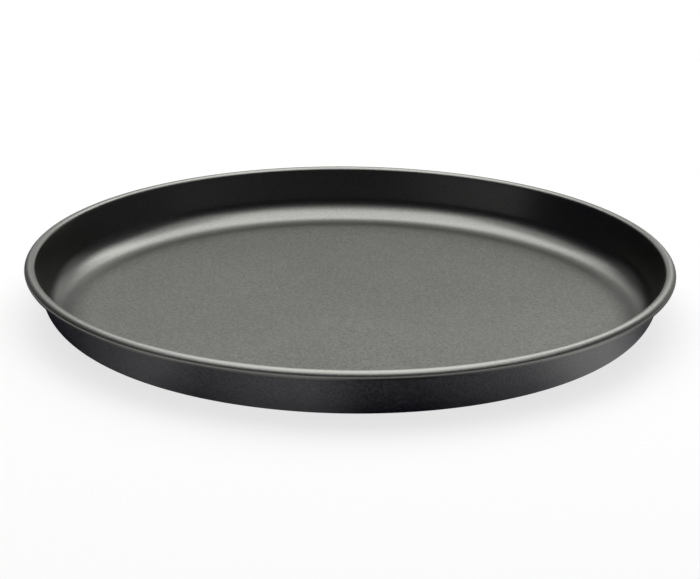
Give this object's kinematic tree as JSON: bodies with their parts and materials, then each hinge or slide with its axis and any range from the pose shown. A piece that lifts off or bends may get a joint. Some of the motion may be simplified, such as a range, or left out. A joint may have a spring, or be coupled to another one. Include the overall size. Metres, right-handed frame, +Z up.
{
  "type": "pizza pan",
  "caption": "Shallow round pizza pan pressed from thin steel, with a leaning wall, a rim rolled round a wire, a satin non-stick inside and a black underside.",
  "frame": {"origin": "centre of the flat underside, on the surface that the pan stands on", "axes": "+Z up along the pan's axis of turning; X and Y lie in the plane it stands on, with +Y at the back, where the wire's ends meet"},
  "size_m": [0.32, 0.32, 0.0275],
  "materials": {
    "sheet_steel": "cold-rolled carbon steel sheet, seen only at its tucked-in cut edge",
    "wire_steel": "drawn mild steel wire, closed in by the rolled rim",
    "inner_finish": "near-black satin non-stick coat with a very fine speckle",
    "outer_finish": "black heat-resistant coat with a fine pebbled grain and a low sheen"
  },
  "bodies": {
    "root": {"pan_shell": "sheet_steel", "rim_wire": "wire_steel", "inner_coat": "inner_finish", "outer_coat": "outer_finish"}
  },
  "joints": []
}
